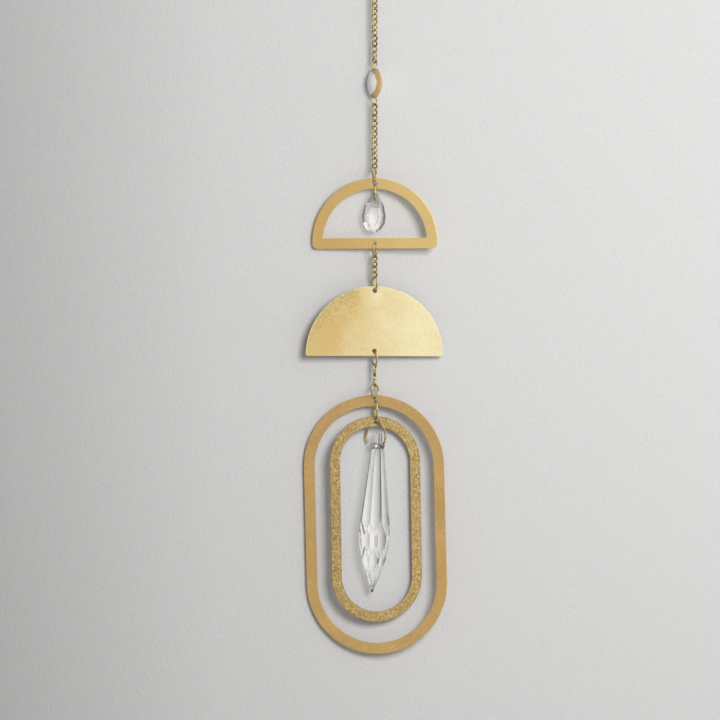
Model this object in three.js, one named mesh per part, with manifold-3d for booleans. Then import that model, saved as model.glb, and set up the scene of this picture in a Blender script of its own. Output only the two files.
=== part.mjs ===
// A hanging suncatcher. From the top down it is a curb chain with a gilt-edged bead in it, an open
// half-round of sheet brass round a teardrop crystal, a solid half-round plate, and two oval rings,
// one inside the other, with a long icicle prism in the middle.
// Millimetres. +Z is up, X is to the viewer's right and Y goes away from the viewer.
// The origin is the point that it hangs from: inside the top of the hanging ring.

import * as THREE from 'three';
import { mergeVertices } from 'three/addons/utils/BufferGeometryUtils.js';
import Module from 'manifold-3d';

const wasm = await Module();
wasm.setup();

// Room between a wire and what it hangs on
const SLACK = 0.15;

// Curb chain: wire thickness, what stays open inside a link beside its two neighbours, the play of
// a jump ring's wire across a link, and how far two links bite into each other where they touch
const CHAIN_WIRE = 0.78;
const LINK_DAYLIGHT = 0.955;
const LINK_PLAY = 0.22;
const LINK_BITE = 0.06;
const UPPER_LINKS = 15;
const MIDDLE_LINKS = 12;
const SHORT_LINKS = 4;
// The last links above the bead turn by this angle in all, to meet the bead's ring crosswise
const TURNED_LINKS = 5;
const LAST_LINK_TURN = -50;
const END_LINK_TURN = 30;

// Jump rings: wire thickness and inside diameter
const RING_WIRE = 0.9;
const RING_BORE = 5.7;
const HANGING_RING_BORE = 9.4;
const TEARDROP_RING_BORE = 6.6;
const OVAL_WIRE = 1.0;
const OVAL_LINK_RING_BORE = 7.75;

// How far each ring is turned about the vertical. At 0 it faces the viewer, and at more than 0 its
// right side goes back.
const HANGING_RING_TURN = 73;
const FRAME_RING_TURN = 76;
const TEARDROP_RING_TURN = -88;
const FRAME_LOWER_RING_TURN = 76;
const PLATE_RING_TURN = -69;
const PLATE_LOWER_RING_TURN = -66;
const OUTER_OVAL_RING_TURN = 60;
const OVAL_LINK_RING_TURN = -81;

// Bead: a lens with a drilled hole near its top and one near its bottom, and its two small oval rings
const BEAD_DIAMETER = 14.4;
const BEAD_THICKNESS = 5.6;
const BEAD_RIM = 0.7;
const BEAD_WEB = 0.45;
const BEAD_HOLE_PLAY = 0.42;
const BEAD_TURN = 25;
const BEAD_RING_WIRE = 0.66;
const BEAD_RING_OPENING = 2.3;
const BEAD_RING_HEIGHT = 3.74;
const BEAD_RING_TURN = 35;

// Holes in the sheet: the wires that pass through one, and this much more
const HOLE_PLAY = 1.1;
const OVAL_HOLE_PLAY = 0.75;

// Open half-round: outer radius, width of its band, what its flat foot stands below the arc's centre
const SHEET = 1.0;
const FRAME_RADIUS = 30.4;
const FRAME_BAND = 5.1;
const FRAME_FOOT = 3.4;
const FRAME_CORNER = 2.4;
const FRAME_TOP_WEB = 0.9;
const FRAME_LOWER_WEB = 1.8;
const FRAME_TURN = -9;
const FRAME_LEAN = 0.2;

// Teardrop crystal: height, width and thickness, its blunt top, and the thickness of its edge
const TEARDROP_HEIGHT = 19.2;
const TEARDROP_WIDTH = 11.6;
const TEARDROP_THICKNESS = 4.6;
const TEARDROP_TOP = 2.2;
const TEARDROP_EDGE = 0.8;
const TEARDROP_HOLE_DEPTH = 3.5;
const TEARDROP_HOLE_PLAY = 0.45;
const TEARDROP_TOP_BEVEL = 0.26;
// Each side has a steep narrow bevel at the edge, this far in, and then a flatter one up to the table
const TEARDROP_STEEP_BEVEL = 1.3;
const TEARDROP_STEEP_REACH = 0.9;
const TEARDROP_FLAT_BEVEL = 0.4;
const TEARDROP_TURN = -14;
const TEARDROP_LEAN = -2.4;

// Solid half-round plate
const PLATE_RADIUS = 33;
const PLATE_FOOT = 0.65;
const PLATE_CORNER = 0.9;
const PLATE_TOP_WEB = 1.25;
const PLATE_LOWER_WEB = 1.45;
const PLATE_TURN = 4;
const PLATE_LEAN = -0.3;

// Oval rings: radius of the round ends, length of the straight sides, width of the band
const OVAL_SHEET = 0.8;
const OUTER_RADIUS = 34;
const OUTER_STRAIGHT = 56.1;
const OUTER_BAND = 5.2;
const OUTER_WEB = 0.93;
const OUTER_HOLE_ASIDE = 1.5;
const OUTER_TURN = -8;
const OUTER_SHIFT = 0.35;
const INNER_RADIUS = 22.1;
const INNER_STRAIGHT = 54.6;
const INNER_BAND = 5.0;
const INNER_WEB = 1.0;
const INNER_HOLE_ASIDE = 0.8;
const INNER_TURN = 11;
const INNER_SHIFT = 0.6;

// Open ring that carries the prism: wire centre radius, where its two ends stop on the circle
// (degrees below level, left and right), how far the right end dips and runs on inside the bore
const PRISM_RING_RADIUS = 6.5;
const PRISM_RING_LEFT_END = 31;
const PRISM_RING_ENTRY = 46;
const PRISM_RING_DIP = 0.37;
const PRISM_RING_TURN = -45;

// Icicle prism. Heights are measured up from its point, and each flat is given by its distance from
// the axis at one height and how much that grows for each millimetre further up.
const PRISM_SIDES = 8;
const PRISM_BODY = 69;
// The knob above the body is a collar with the bore in it, and a narrower stud on top
const PRISM_KNOB = 7.5;
const PRISM_COLLAR = 3;
const PRISM_KNOB_FLAT = 3.3;
const PRISM_KNOB_WAIST = 2.7;
const PRISM_STUD_FLAT = 2.05;
const PRISM_BORE_UP = 1.4;
const BORE_PLAY = 0.6;
const FLUTE_END = 27.4;
const FLUTE_FLAT = 7.6;
const FLUTE_GROWTH = -0.109;
// The flutes are turned by this much against the bore
const FLUTE_TURN = 5;
const UPPER_DIAMOND_GROWTH = 0.07;
const LOWER_DIAMOND_TOP = 22.6;
const LOWER_DIAMOND_GROWTH = 0.25;
const POINT_FLAT = 0.1;
const POINT_GROWTH = 0.378;
const PRISM_LEAN = -2.2;

// Finishes
const brass = { color: 0xc8a86c, roughness: 0.42, metalness: 1 };
const paleBrass = { color: 0xe6d49f, roughness: 0.38, metalness: 1 };
const darkBrass = { color: 0xb79867, roughness: 0.5, metalness: 1 };
const wireBrass = { color: 0xb58a4e, roughness: 0.3, metalness: 1 };
const agedBrass = { color: 0x8f7d4c, roughness: 0.4, metalness: 1 };
const beadFinish = { color: 0xeae8e6, roughness: 0.35, metalness: 0 };
const crystal = { color: 0xf4f8fa, roughness: 0.02, metalness: 0, transparent: true, opacity: 0.4 };

const group = new THREE.Group();
const radians = THREE.MathUtils.degToRad;

function place(name, geometry, finish, { x = 0, y = 0, z, turn = 0, lean = 0 }) {
  const mesh = new THREE.Mesh(geometry, new THREE.MeshStandardMaterial(finish));
  mesh.name = name;
  mesh.position.set(x, y, z);
  // The piece turns about its own upright first, and then leans in the viewer's plane. At more than
  // 0 its foot goes to the right.
  mesh.rotation.order = 'YXZ';
  mesh.rotation.set(0, -radians(lean), radians(turn));
  group.add(mesh);
}

// Solids for joining and cutting

function solid(geometry) {
  geometry.deleteAttribute('normal');
  geometry.deleteAttribute('uv');
  const merged = mergeVertices(geometry, 1e-4);
  const corners = Array.from(merged.index.array);
  const faces = [];
  for (let i = 0; i < corners.length; i += 3) {
    const [a, b, c] = corners.slice(i, i + 3);
    if (a !== b && b !== c && c !== a) faces.push(a, b, c);
  }
  return new wasm.Manifold(new wasm.Mesh({
    numProp: 3,
    vertProperties: new Float32Array(merged.attributes.position.array),
    triVerts: new Uint32Array(faces),
  }));
}

function surface(body) {
  const mesh = body.getMesh();
  const geometry = new THREE.BufferGeometry();
  geometry.setAttribute('position', new THREE.BufferAttribute(mesh.vertProperties, 3));
  geometry.setIndex(new THREE.BufferAttribute(mesh.triVerts, 1));
  geometry.computeVertexNormals();
  return geometry;
}

// Takes away all that lies beyond a flat, as a grinding wheel does. The flat faces along normal, and
// passes through point. The wheel is a block larger than the piece.
function grind(body, normal, point, reach) {
  const out = normal.clone().normalize();
  const wheel = new THREE.BoxGeometry(4 * reach, 4 * reach, 4 * reach);
  wheel.translate(0, 0, 2 * reach);
  wheel.applyQuaternion(new THREE.Quaternion().setFromUnitVectors(new THREE.Vector3(0, 0, 1), out));
  const start = out.multiplyScalar(point.dot(out));
  wheel.translate(start.x, start.y, start.z);
  return body.subtract(solid(wheel));
}

// Curb chain

const linkRoom = 2 * CHAIN_WIRE + LINK_DAYLIGHT;
const linkHalfLength = (linkRoom + CHAIN_WIRE) / 2;
const linkHalfWidth = (RING_WIRE + 2 * LINK_PLAY + CHAIN_WIRE) / 2;
const linkTwist = 0.56 * CHAIN_WIRE;
const linkPitch = linkRoom + LINK_BITE;

// The middle line of a curb link: an upright oval whose sides swing out of its plane, so that the
// next link lies flat against it
class LinkCurve extends THREE.Curve {
  getPoint(t, target = new THREE.Vector3()) {
    const a = 2 * Math.PI * t;
    return target.set(
      linkHalfWidth * Math.cos(a),
      -linkTwist * Math.sin(2 * a),
      linkHalfLength * Math.sin(a),
    );
  }
}

// Height from the middle of a run's top wire to the middle of its bottom wire
function runLength(links) {
  return 2 * linkHalfLength + (links - 1) * linkPitch;
}

// A run of links made as one body, hanging from the middle of its first link's top wire
function chainRun(links, turnOf = () => 0) {
  let run = null;
  for (let i = 0; i < links; i += 1) {
    // A closed loop, so the tube has no open ends
    const link = new THREE.TubeGeometry(new LinkCurve(), 10, CHAIN_WIRE / 2, 5, true);
    link.rotateZ(radians(turnOf(i)));
    link.translate(0, 0, -linkHalfLength - i * linkPitch);
    run = run ? run.add(solid(link)) : solid(link);
  }
  return surface(run);
}

// Rings

function ringGeometry(bore, wire, steps) {
  const ring = new THREE.TorusGeometry((bore + wire) / 2, wire / 2, 6, steps);
  ring.rotateX(Math.PI / 2);
  return ring;
}

// The middle line of a small oval ring: two half circles and two straight sides
class OvalRingCurve extends THREE.Curve {
  getPoint(t, target = new THREE.Vector3()) {
    const radius = (BEAD_RING_OPENING + BEAD_RING_WIRE) / 2;
    const straight = BEAD_RING_HEIGHT - BEAD_RING_OPENING;
    const a = 2 * Math.PI * t;
    const side = THREE.MathUtils.clamp(2 * Math.sin(a), -1, 1);
    return target.set(radius * Math.cos(a), 0, radius * Math.sin(a) + side * straight / 2);
  }
}

function ovalRingGeometry() {
  return new THREE.TubeGeometry(new OvalRingCurve(), 16, BEAD_RING_WIRE / 2, 6, true);
}

// Middle of the wire that rests on top of another wire
function over(z, lowerWire, upperWire) {
  return z + (lowerWire + upperWire) / 2 + SLACK;
}

// Middle of a hole whose top edge rests on a wire, and middle of a wire that rests on a hole's bottom
function holeOn(z, wire, hole) {
  return z + wire / 2 + SLACK - hole / 2;
}

function wireIn(z, wire, hole) {
  return z - hole / 2 + wire / 2 + SLACK;
}

// Hanging ring, upper chain, bead and its rings

const hangingRingZ = -HANGING_RING_BORE / 2;
place('hanging_ring', ringGeometry(HANGING_RING_BORE, RING_WIRE, 20), wireBrass,
  { z: hangingRingZ, turn: HANGING_RING_TURN });

const upperTop = over(-HANGING_RING_BORE - RING_WIRE / 2, RING_WIRE, CHAIN_WIRE);
const upperBottom = upperTop - runLength(UPPER_LINKS);
const firstTurned = UPPER_LINKS - TURNED_LINKS;
place('upper_chain', chainRun(UPPER_LINKS, (i) =>
  LAST_LINK_TURN * Math.max(0, i + 1 - firstTurned) / TURNED_LINKS), agedBrass, { z: upperTop });

const beadHole = BEAD_RING_WIRE + 2 * BEAD_HOLE_PLAY;
const beadHoleOut = (BEAD_DIAMETER - beadHole) / 2 - BEAD_WEB;
const beadRingLength = BEAD_RING_HEIGHT + BEAD_RING_WIRE;
const beadUpperRingTop = over(upperBottom, CHAIN_WIRE, BEAD_RING_WIRE);
const beadUpperRingBottom = beadUpperRingTop - beadRingLength;
place('bead_upper_ring', ovalRingGeometry(), wireBrass,
  { z: (beadUpperRingTop + beadUpperRingBottom) / 2, turn: BEAD_RING_TURN });

// Two shallow domes that meet in a thin rim
function beadGeometry() {
  const radius = BEAD_DIAMETER / 2;
  const rise = (BEAD_THICKNESS - BEAD_RIM) / 2;
  const sphere = (radius * radius + rise * rise) / (2 * rise);
  const steps = 5;
  const profile = [];
  for (let i = -steps; i <= steps; i += 1) {
    const side = Math.sign(i) || 1;
    const r = radius * Math.sin(Math.PI / 2 * (1 - Math.abs(i) / steps));
    const dome = Math.sqrt(sphere * sphere - r * r) - (sphere - rise);
    if (i === 0) profile.push(new THREE.Vector2(r, -BEAD_RIM / 2));
    profile.push(new THREE.Vector2(r, side * (BEAD_RIM / 2 + dome)));
  }
  const lens = new THREE.LatheGeometry(profile, 28);
  let body = solid(lens);
  for (const side of [-1, 1]) {
    const drill = new THREE.CylinderGeometry(beadHole / 2, beadHole / 2, 2 * BEAD_THICKNESS, 12);
    drill.translate(side * beadHoleOut, 0, 0);
    body = body.subtract(solid(drill));
  }
  const geometry = surface(body);
  // The lathe's axis becomes the bead's flat direction, along X, with the holes above and below
  geometry.rotateZ(Math.PI / 2);
  geometry.rotateX(Math.PI / 2);
  return geometry;
}

const beadZ = holeOn(beadUpperRingBottom, BEAD_RING_WIRE, beadHole) - beadHoleOut;
place('bead', beadGeometry(), beadFinish, { z: beadZ, turn: BEAD_TURN });

const beadLowerRingTop = wireIn(beadZ - beadHoleOut, BEAD_RING_WIRE, beadHole);
const beadLowerRingBottom = beadLowerRingTop - beadRingLength;
place('bead_lower_ring', ovalRingGeometry(), wireBrass,
  { z: (beadLowerRingTop + beadLowerRingBottom) / 2, turn: BEAD_RING_TURN });

const middleTop = over(beadLowerRingBottom, BEAD_RING_WIRE, CHAIN_WIRE);
const middleBottom = middleTop - runLength(MIDDLE_LINKS);
place('middle_chain', chainRun(MIDDLE_LINKS), agedBrass, { z: middleTop });

// A jump ring that hangs on the wire or in the hole given by the middle of its own top wire
const ringDrop = RING_BORE + RING_WIRE;

function jumpRing(name, top, turn, x = 0) {
  place(name, ringGeometry(RING_BORE, RING_WIRE, 18), wireBrass, { x, z: top - ringDrop / 2, turn });
  return top - ringDrop;
}

// A flat piece cut from sheet, drawn upright and centred on its own thickness
function sheetGeometry(shape, thickness) {
  const settings = { depth: thickness, bevelEnabled: false, curveSegments: 12 };
  const geometry = new THREE.ExtrudeGeometry(shape, settings);
  geometry.translate(0, 0, -thickness / 2);
  geometry.rotateX(Math.PI / 2);
  return geometry;
}

function punch(shape, x, y, diameter) {
  const hole = new THREE.Path();
  hole.absarc(x, y, diameter / 2, 0, 2 * Math.PI, true);
  shape.holes.push(hole);
}

// A half-round with a flat foot a little below the arc's centre, and rounded lower corners
function halfRound(radius, foot, corner) {
  const shape = new THREE.Shape();
  // Where the arc runs into the corner's round: both circles touch there
  const cornerX = Math.sqrt((radius - corner) ** 2 - (foot - corner) ** 2);
  const meet = Math.atan2(corner - foot, cornerX);
  shape.absarc(0, 0, radius, meet, Math.PI - meet, false);
  shape.absarc(-cornerX, corner - foot, corner, Math.PI - meet, 1.5 * Math.PI, false);
  shape.absarc(cornerX, corner - foot, corner, 1.5 * Math.PI, 2 * Math.PI + meet, false);
  return shape;
}

// Open half-round

const frameHole = 2 * RING_WIRE + HOLE_PLAY;
const singleHole = RING_WIRE + HOLE_PLAY;
const frameRingTop = over(middleBottom, CHAIN_WIRE, RING_WIRE);
const frameRingBottom = jumpRing('open_half_round_ring', frameRingTop, FRAME_RING_TURN);
const frameHoleZ = holeOn(frameRingBottom, RING_WIRE, frameHole);
const frameHoleDepth = FRAME_TOP_WEB + frameHole / 2;
// The sheet is drawn round the arc's centre, which hangs this far below the hole
const frameCentreDrop = FRAME_RADIUS - frameHoleDepth;
const frameLowerHoleDrop = frameCentreDrop + FRAME_FOOT - FRAME_LOWER_WEB - singleHole / 2;

function openHalfRound() {
  const shape = halfRound(FRAME_RADIUS, FRAME_FOOT, FRAME_CORNER);
  const inner = FRAME_RADIUS - FRAME_BAND;
  const sill = Math.asin((FRAME_BAND - FRAME_FOOT) / inner);
  const window = new THREE.Path();
  window.absarc(0, 0, inner, sill, Math.PI - sill, false);
  shape.holes.push(window);
  punch(shape, 0, frameCentreDrop, frameHole);
  punch(shape, 0, frameCentreDrop - frameLowerHoleDrop, singleHole);
  return sheetGeometry(shape, SHEET).translate(0, 0, -frameCentreDrop);
}

place('open_half_round', openHalfRound(), brass, { z: frameHoleZ, turn: FRAME_TURN, lean: FRAME_LEAN });

// Teardrop crystal and its ring

const teardropRingTop = wireIn(frameHoleZ, RING_WIRE, frameHole);
const teardropRingRadius = (TEARDROP_RING_BORE + RING_WIRE) / 2;
place('teardrop_ring', ringGeometry(TEARDROP_RING_BORE, RING_WIRE, 20), wireBrass,
  { z: teardropRingTop - teardropRingRadius, turn: TEARDROP_RING_TURN });

// Half of the outline, as shares of the half width and of the height, from the blunt top to the foot.
// The other half mirrors it.
const teardropOutline = [[0.78, 0.29], [0.99, 0.56], [0.93, 0.76], [0.57, 0.93], [0, 1]];

function teardropGeometry() {
  const reach = 2 * TEARDROP_HEIGHT;
  const blank = new THREE.BoxGeometry(2 * TEARDROP_WIDTH, TEARDROP_THICKNESS, reach);
  let body = solid(blank);
  const edge = TEARDROP_EDGE / 2;
  // One side of the outline runs between two corners. It is ground square to the thin edge, and
  // bevelled from there up to both broad faces.
  function grindSide(from, to, bevels) {
    const out = new THREE.Vector3(to.z - from.z, 0, from.x - to.x).normalize();
    const corner = new THREE.Vector3(from.x, 0, from.z);
    body = grind(body, out, corner, reach);
    for (const face of [-1, 1]) {
      for (const { slope, inward, rise } of bevels) {
        const bevel = out.clone().multiplyScalar(slope).add(new THREE.Vector3(0, face, 0));
        const point = corner.clone().addScaledVector(out, -inward).setY(face * (edge + rise));
        body = grind(body, bevel, point, reach);
      }
    }
  }
  const sideBevels = [
    { slope: TEARDROP_STEEP_BEVEL, inward: 0, rise: 0 },
    {
      slope: TEARDROP_FLAT_BEVEL,
      inward: TEARDROP_STEEP_REACH,
      rise: TEARDROP_STEEP_BEVEL * TEARDROP_STEEP_REACH,
    },
  ];
  for (const side of [-1, 1]) {
    let from = { x: side * TEARDROP_TOP / 2, z: 0 };
    for (const [across, down] of teardropOutline) {
      const to = { x: side * across * TEARDROP_WIDTH / 2, z: -down * TEARDROP_HEIGHT };
      if (side > 0) grindSide(to, from, sideBevels);
      else grindSide(from, to, sideBevels);
      from = to;
    }
  }
  const top = TEARDROP_TOP / 2;
  grindSide({ x: top, z: 0 }, { x: -top, z: 0 }, [{ slope: TEARDROP_TOP_BEVEL, inward: 0, rise: 0 }]);
  const bore = new THREE.CylinderGeometry(teardropHole / 2, teardropHole / 2, reach, 12);
  bore.translate(0, 0, -TEARDROP_HOLE_DEPTH);
  return surface(body.subtract(solid(bore))).translate(0, 0, TEARDROP_HOLE_DEPTH);
}

const teardropHole = RING_WIRE + 2 * TEARDROP_HOLE_PLAY;
// The ring's wire climbs on its way out of the hole, where the crystal is this thick
const teardropAtHole = TEARDROP_EDGE / 2 + TEARDROP_TOP_BEVEL * TEARDROP_HOLE_DEPTH;
const ringClimb = teardropRingRadius - Math.sqrt(teardropRingRadius ** 2 - teardropAtHole ** 2);
const teardropRingBottom = teardropRingTop - 2 * teardropRingRadius;
const teardropHoleZ = holeOn(teardropRingBottom + ringClimb, RING_WIRE, teardropHole);
place('teardrop_crystal', teardropGeometry(), crystal,
  { z: teardropHoleZ, turn: TEARDROP_TURN, lean: TEARDROP_LEAN });

// Ring and short chain down to the plate

const frameLowerHoleX = Math.sin(radians(FRAME_LEAN)) * frameLowerHoleDrop;
const frameLowerHoleZ = frameHoleZ - frameLowerHoleDrop;
const frameLowerRingTop = wireIn(frameLowerHoleZ, RING_WIRE, singleHole);
const frameLowerRingBottom = jumpRing('open_half_round_lower_ring', frameLowerRingTop,
  FRAME_LOWER_RING_TURN, frameLowerHoleX);
const upperShortTop = over(frameLowerRingBottom, RING_WIRE, CHAIN_WIRE);
place('upper_short_chain', chainRun(SHORT_LINKS), agedBrass, { z: upperShortTop });

// Solid half-round plate

const plateRingTop = over(upperShortTop - runLength(SHORT_LINKS), CHAIN_WIRE, RING_WIRE);
const plateRingBottom = jumpRing('half_round_plate_ring', plateRingTop, PLATE_RING_TURN);
const plateHoleZ = holeOn(plateRingBottom, RING_WIRE, singleHole);
const plateCentreDrop = PLATE_RADIUS - PLATE_TOP_WEB - singleHole / 2;
const plateLowerHoleDrop = plateCentreDrop + PLATE_FOOT - PLATE_LOWER_WEB - singleHole / 2;

function halfRoundPlate() {
  // The corner can't be rounder than the foot is deep
  const shape = halfRound(PLATE_RADIUS, PLATE_FOOT, Math.min(PLATE_CORNER, PLATE_RADIUS / 2));
  punch(shape, 0, plateCentreDrop, singleHole);
  punch(shape, 0, plateCentreDrop - plateLowerHoleDrop, singleHole);
  return sheetGeometry(shape, SHEET).translate(0, 0, -plateCentreDrop);
}

place('half_round_plate', halfRoundPlate(), paleBrass,
  { z: plateHoleZ, turn: PLATE_TURN, lean: PLATE_LEAN });

// Ring, short chain seen edge-on, and ring down to the outer oval

const plateLowerHoleX = Math.sin(radians(PLATE_LEAN)) * plateLowerHoleDrop;
const plateLowerRingTop = wireIn(plateHoleZ - plateLowerHoleDrop, RING_WIRE, singleHole);
const plateLowerRingBottom = jumpRing('half_round_plate_lower_ring', plateLowerRingTop,
  PLATE_LOWER_RING_TURN, plateLowerHoleX);
const lowerShortTop = over(plateLowerRingBottom, RING_WIRE, CHAIN_WIRE);
// Its end links turn towards the rings that they hang on
place('lower_short_chain', chainRun(SHORT_LINKS, (i) => {
  if (i === 0) return -END_LINK_TURN;
  return i === SHORT_LINKS - 1 ? END_LINK_TURN : 0;
}), agedBrass, { z: lowerShortTop, turn: 90 });
const outerRingTop = over(lowerShortTop - runLength(SHORT_LINKS), CHAIN_WIRE, RING_WIRE);
const outerRingBottom = jumpRing('outer_oval_ring', outerRingTop, OUTER_OVAL_RING_TURN,
  OUTER_SHIFT / 2);

// Oval rings. Each is hung by a hole a little to one side of its middle, so it leans until its
// middle is under the hole.

function ovalGeometry(radius, straight, band, hole, web, aside) {
  const shape = new THREE.Shape();
  const inside = new THREE.Path();
  for (const [path, r] of [[shape, radius], [inside, radius - band]]) {
    path.absarc(0, straight / 2, r, 0, Math.PI, false);
    path.absarc(0, -straight / 2, r, Math.PI, 2 * Math.PI, false);
  }
  shape.holes.push(inside);
  const holeY = straight / 2 + radius - web - hole / 2;
  punch(shape, aside, holeY, hole);
  return sheetGeometry(shape, OVAL_SHEET).translate(-aside, 0, -holeY);
}

function ovalLean(radius, straight, hole, web, aside) {
  return THREE.MathUtils.radToDeg(Math.atan(aside / (straight / 2 + radius - web - hole / 2)));
}

const outerHole = RING_WIRE + OVAL_WIRE + OVAL_HOLE_PLAY;
const outerHoleZ = holeOn(outerRingBottom, RING_WIRE, outerHole);
place('outer_oval',
  ovalGeometry(OUTER_RADIUS, OUTER_STRAIGHT, OUTER_BAND, outerHole, OUTER_WEB, OUTER_HOLE_ASIDE),
  darkBrass,
  {
    x: OUTER_SHIFT,
    z: outerHoleZ,
    turn: OUTER_TURN,
    lean: ovalLean(OUTER_RADIUS, OUTER_STRAIGHT, outerHole, OUTER_WEB, OUTER_HOLE_ASIDE),
  });

const linkRingDrop = OVAL_LINK_RING_BORE + OVAL_WIRE;
const linkRingTop = wireIn(outerHoleZ, OVAL_WIRE, outerHole);
place('oval_link_ring', ringGeometry(OVAL_LINK_RING_BORE, OVAL_WIRE, 20), wireBrass,
  { x: (OUTER_SHIFT + INNER_SHIFT) / 2, z: linkRingTop - linkRingDrop / 2, turn: OVAL_LINK_RING_TURN });

const innerHole = 2 * OVAL_WIRE + OVAL_HOLE_PLAY;
const innerHoleZ = holeOn(linkRingTop - linkRingDrop, OVAL_WIRE, innerHole);
place('inner_oval',
  ovalGeometry(INNER_RADIUS, INNER_STRAIGHT, INNER_BAND, innerHole, INNER_WEB, INNER_HOLE_ASIDE),
  brass,
  {
    x: INNER_SHIFT,
    z: innerHoleZ,
    turn: INNER_TURN,
    lean: ovalLean(INNER_RADIUS, INNER_STRAIGHT, innerHole, INNER_WEB, INNER_HOLE_ASIDE),
  });

// Open ring of the prism. It is drawn round its own centre, in its own plane.

const prismRingZ = wireIn(innerHoleZ, OVAL_WIRE, innerHole) - PRISM_RING_RADIUS;
const entry = radians(PRISM_RING_ENTRY);
const mouthX = PRISM_RING_RADIUS * Math.cos(entry);
const mouthZ = -PRISM_RING_RADIUS * Math.sin(entry);
const prismX = mouthX - PRISM_KNOB_FLAT;

// Round from the free left end over the top to the mouth of the bore, then a short bend to level,
// and on into the bore as far as the prism's middle
class PrismRingCurve extends THREE.CurvePath {
  constructor() {
    super();
    const round = new THREE.EllipseCurve(0, 0, PRISM_RING_RADIUS, PRISM_RING_RADIUS,
      Math.PI + radians(PRISM_RING_LEFT_END), -entry, true);
    this.add(new THREE.CatmullRomCurve3(round.getPoints(20).map((p) => new THREE.Vector3(p.x, 0, p.y))));
    const level = mouthZ - PRISM_RING_DIP;
    const bendX = mouthX - PRISM_RING_DIP * Math.tan(entry);
    const mouth = new THREE.Vector3(mouthX, 0, mouthZ);
    const bend = new THREE.Vector3(bendX, 0, level);
    const run = new THREE.Vector3(2 * bendX - mouthX, 0, level);
    this.add(new THREE.QuadraticBezierCurve3(mouth, bend, run));
    this.add(new THREE.LineCurve3(run, new THREE.Vector3(prismX, 0, level)));
  }
}

function prismRingGeometry() {
  const section = new THREE.Shape();
  section.absarc(0, 0, OVAL_WIRE / 2, 0, 2 * Math.PI, false);
  const settings = { steps: 24, curveSegments: 4, extrudePath: new PrismRingCurve() };
  return new THREE.ExtrudeGeometry(section, settings);
}

place('prism_ring', prismRingGeometry(), wireBrass,
  { x: INNER_SHIFT, z: prismRingZ, turn: PRISM_RING_TURN });

// Icicle prism, drawn from its point up

function grindRow(body, { flat, height, growth, between = false, turn = 0, reach }) {
  let ground = body;
  for (let i = 0; i < PRISM_SIDES; i += 1) {
    const around = 2 * Math.PI * (i + (between ? 0.5 : 0)) / PRISM_SIDES + radians(turn);
    const out = new THREE.Vector3(Math.cos(around), Math.sin(around), 0);
    const point = out.clone().multiplyScalar(flat).setZ(height);
    ground = grind(ground, out.setZ(-growth), point, reach);
  }
  return ground;
}

function prismGeometry() {
  const reach = PRISM_BODY;
  const width = 4 * FLUTE_FLAT;
  let body = solid(new THREE.BoxGeometry(width, width, PRISM_BODY).translate(0, 0, PRISM_BODY / 2));
  const upperFlat = FLUTE_FLAT * Math.cos(Math.PI / PRISM_SIDES);
  // The lower diamonds start on the edges between the upper ones
  const dropBetween = (FLUTE_END - LOWER_DIAMOND_TOP) * UPPER_DIAMOND_GROWTH;
  const lowerFlat = (upperFlat - dropBetween) / Math.cos(Math.PI / PRISM_SIDES);
  const rows = [
    { flat: FLUTE_FLAT, height: FLUTE_END, growth: FLUTE_GROWTH, between: false },
    { flat: upperFlat, height: FLUTE_END, growth: UPPER_DIAMOND_GROWTH, between: true },
    { flat: lowerFlat, height: LOWER_DIAMOND_TOP, growth: LOWER_DIAMOND_GROWTH, between: false },
    { flat: POINT_FLAT, height: 0, growth: POINT_GROWTH, between: true },
  ];
  for (const row of rows) body = grindRow(body, { ...row, turn: FLUTE_TURN, reach });

  // Each part of the knob starts a little inside the part below it, so that the prism is one piece
  const sunk = PRISM_KNOB / 10;
  function knobPart(foot, top, knobRows) {
    const knobWidth = 4 * PRISM_KNOB_FLAT;
    const blank = new THREE.BoxGeometry(knobWidth, knobWidth, top - foot + sunk);
    let part = solid(blank.translate(0, 0, (top + foot - sunk) / 2));
    for (const row of knobRows) part = grindRow(part, { ...row, reach });
    return part;
  }
  const collarTop = PRISM_BODY + PRISM_COLLAR;
  const knobTop = PRISM_BODY + PRISM_KNOB;
  const collar = knobPart(PRISM_BODY, collarTop, [
    { flat: PRISM_KNOB_FLAT, height: PRISM_BODY, growth: 0 },
    { flat: PRISM_KNOB_WAIST, height: PRISM_BODY, growth: 0.6 },
    { flat: PRISM_KNOB_FLAT, height: collarTop - PRISM_COLLAR / 8, growth: -1 },
  ]);
  const stud = knobPart(collarTop, knobTop, [
    { flat: PRISM_STUD_FLAT, height: collarTop, growth: 0 },
    { flat: PRISM_STUD_FLAT, height: knobTop - PRISM_KNOB / 10, growth: -0.55 },
  ]);

  const boreHeight = PRISM_BODY + PRISM_BORE_UP;
  const bore = OVAL_WIRE + 2 * BORE_PLAY;
  const drill = new THREE.CylinderGeometry(bore / 2, bore / 2, reach, 12);
  drill.rotateZ(Math.PI / 2).translate(0, 0, boreHeight);
  body = body.add(collar).add(stud).subtract(solid(drill));
  return surface(body).translate(0, 0, -boreHeight);
}

// The top edge of the bore's mouth hangs on the wire
const hangRadius = PRISM_RING_RADIUS - OVAL_WIRE / 2 - SLACK;
const prismZ = -Math.sqrt(hangRadius ** 2 - mouthX ** 2) - OVAL_WIRE / 2 - BORE_PLAY;
const prismPlace = new THREE.Vector3(prismX, 0, prismZ)
  .applyAxisAngle(new THREE.Vector3(0, 0, 1), radians(PRISM_RING_TURN));
place('icicle_prism', prismGeometry(), crystal, {
  x: INNER_SHIFT + prismPlace.x,
  y: prismPlace.y,
  z: prismRingZ + prismPlace.z,
  turn: PRISM_RING_TURN,
  lean: PRISM_LEAN,
});

export default group;
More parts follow.
